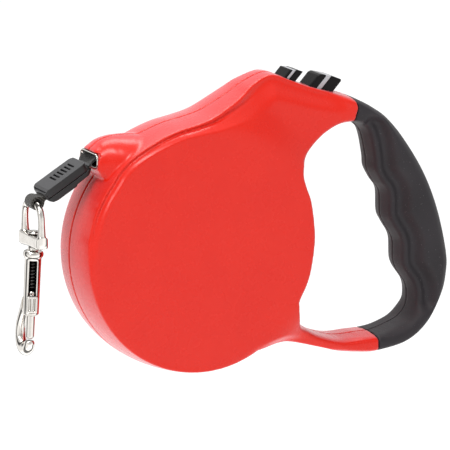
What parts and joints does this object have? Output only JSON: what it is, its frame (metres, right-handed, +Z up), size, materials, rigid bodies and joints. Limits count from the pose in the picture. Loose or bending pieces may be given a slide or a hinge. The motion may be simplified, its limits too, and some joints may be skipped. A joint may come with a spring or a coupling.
{
  "type": "retractable leash",
  "caption": "Hand-held retractable pet leash: round sprung tape reel in a two-half casing with a rubber finger grip, brake and lock buttons, and a clamped tape end with a swivel bolt snap.",
  "frame": {"origin": "middle of the hand grip, where the palm wraps round it, on the casing's parting plane", "axes": "+X from the reel towards the hand grip, +Y across the casing's thickness towards the screwed half, +Z up from the bridge towards the buttons"},
  "size_m": [0.2157, 0.044, 0.1395],
  "materials": {
    "red_shell": "satin-gloss moulded plastic",
    "grip_rubber": "soft-touch rubber",
    "black_plastic": "semi-matte",
    "grey_stripe": "satin",
    "chrome": "polished plating",
    "steel": "plain",
    "webbing": "woven",
    "reel_plastic": "moulded"
  },
  "bodies": {
    "casing": {"front_shell": "red_shell", "rear_shell": "red_shell", "front_grip": "grip_rubber", "rear_grip": "grip_rubber", "nozzle_bezel": "chrome", "case_screw_1": "steel", "case_screw_2": "steel", "case_screw_3": "steel", "case_screw_4": "steel", "case_screw_5": "steel", "spindle": "steel", "tape_run": "webbing", "brake_spring": "steel", "lock_spring": "steel"},
    "reel": {"reel_drum": "reel_plastic", "reel_side_plate": "reel_plastic", "tape_roll": "webbing", "power_spring": "steel"},
    "brake": {"brake_button": "black_plastic", "brake_button_stripe": "grey_stripe"},
    "lock": {"lock_button": "black_plastic", "lock_button_stripe": "grey_stripe"},
    "lead": {"clamp_upper": "black_plastic", "clamp_lower": "black_plastic", "clamp_screw_1": "steel", "clamp_screw_2": "steel", "tape_tail": "webbing", "strap_loop": "webbing"},
    "eye": {"swivel_eye": "chrome"},
    "snap": {"snap_body": "chrome", "bolt_spring": "steel"},
    "bolt": {"snap_bolt": "chrome"}
  },
  "joints": [
    {"name": "lead_pull", "type": "slide", "parent": "casing", "child": "lead", "axis": [-0.8572, 0, -0.515], "range_m": [0, 5], "stiffness_N_per_m": 1, "springref_m": -5},
    {"name": "reel_spin", "type": "hinge", "parent": "casing", "child": "reel", "pos_m": [-0.12, 0, 0.008], "axis": [0, -1, 0], "range_deg": [0, 8101], "deforming": ["power_spring"]},
    {"name": "brake_press", "type": "slide", "parent": "casing", "child": "brake", "axis": [-0.6756, 0, -0.7373], "range_m": [0, 0.0036], "stiffness_N_per_m": 600, "springref_m": -0.002, "deforming": ["brake_spring"]},
    {"name": "lock_press", "type": "slide", "parent": "casing", "child": "lock", "axis": [-0.6756, 0, -0.7373], "range_m": [0, 0.003], "stiffness_N_per_m": 400, "springref_m": -0.002, "deforming": ["lock_spring"]},
    {"name": "eye_swing", "type": "hinge", "parent": "lead", "child": "eye", "pos_m": [-0.19784, 0, 0.03457], "axis": [0, 1, 0], "range_deg": [-12, 110]},
    {"name": "snap_swivel", "type": "hinge", "parent": "eye", "child": "snap", "pos_m": [-0.1979, 0, 0.0124], "axis": [0.0523, 0, 0.9986], "continuous": true},
    {"name": "bolt_slide", "type": "slide", "parent": "snap", "child": "bolt", "axis": [0.0523, 0, 0.9986], "range_m": [0, 0.009], "stiffness_N_per_m": 150, "springref_m": -0.006, "deforming": ["bolt_spring"]}
  ],
  "couplings": [
    {"joint": "reel_spin", "follows": "lead_pull", "rad_per_m": 28.274}
  ]
}
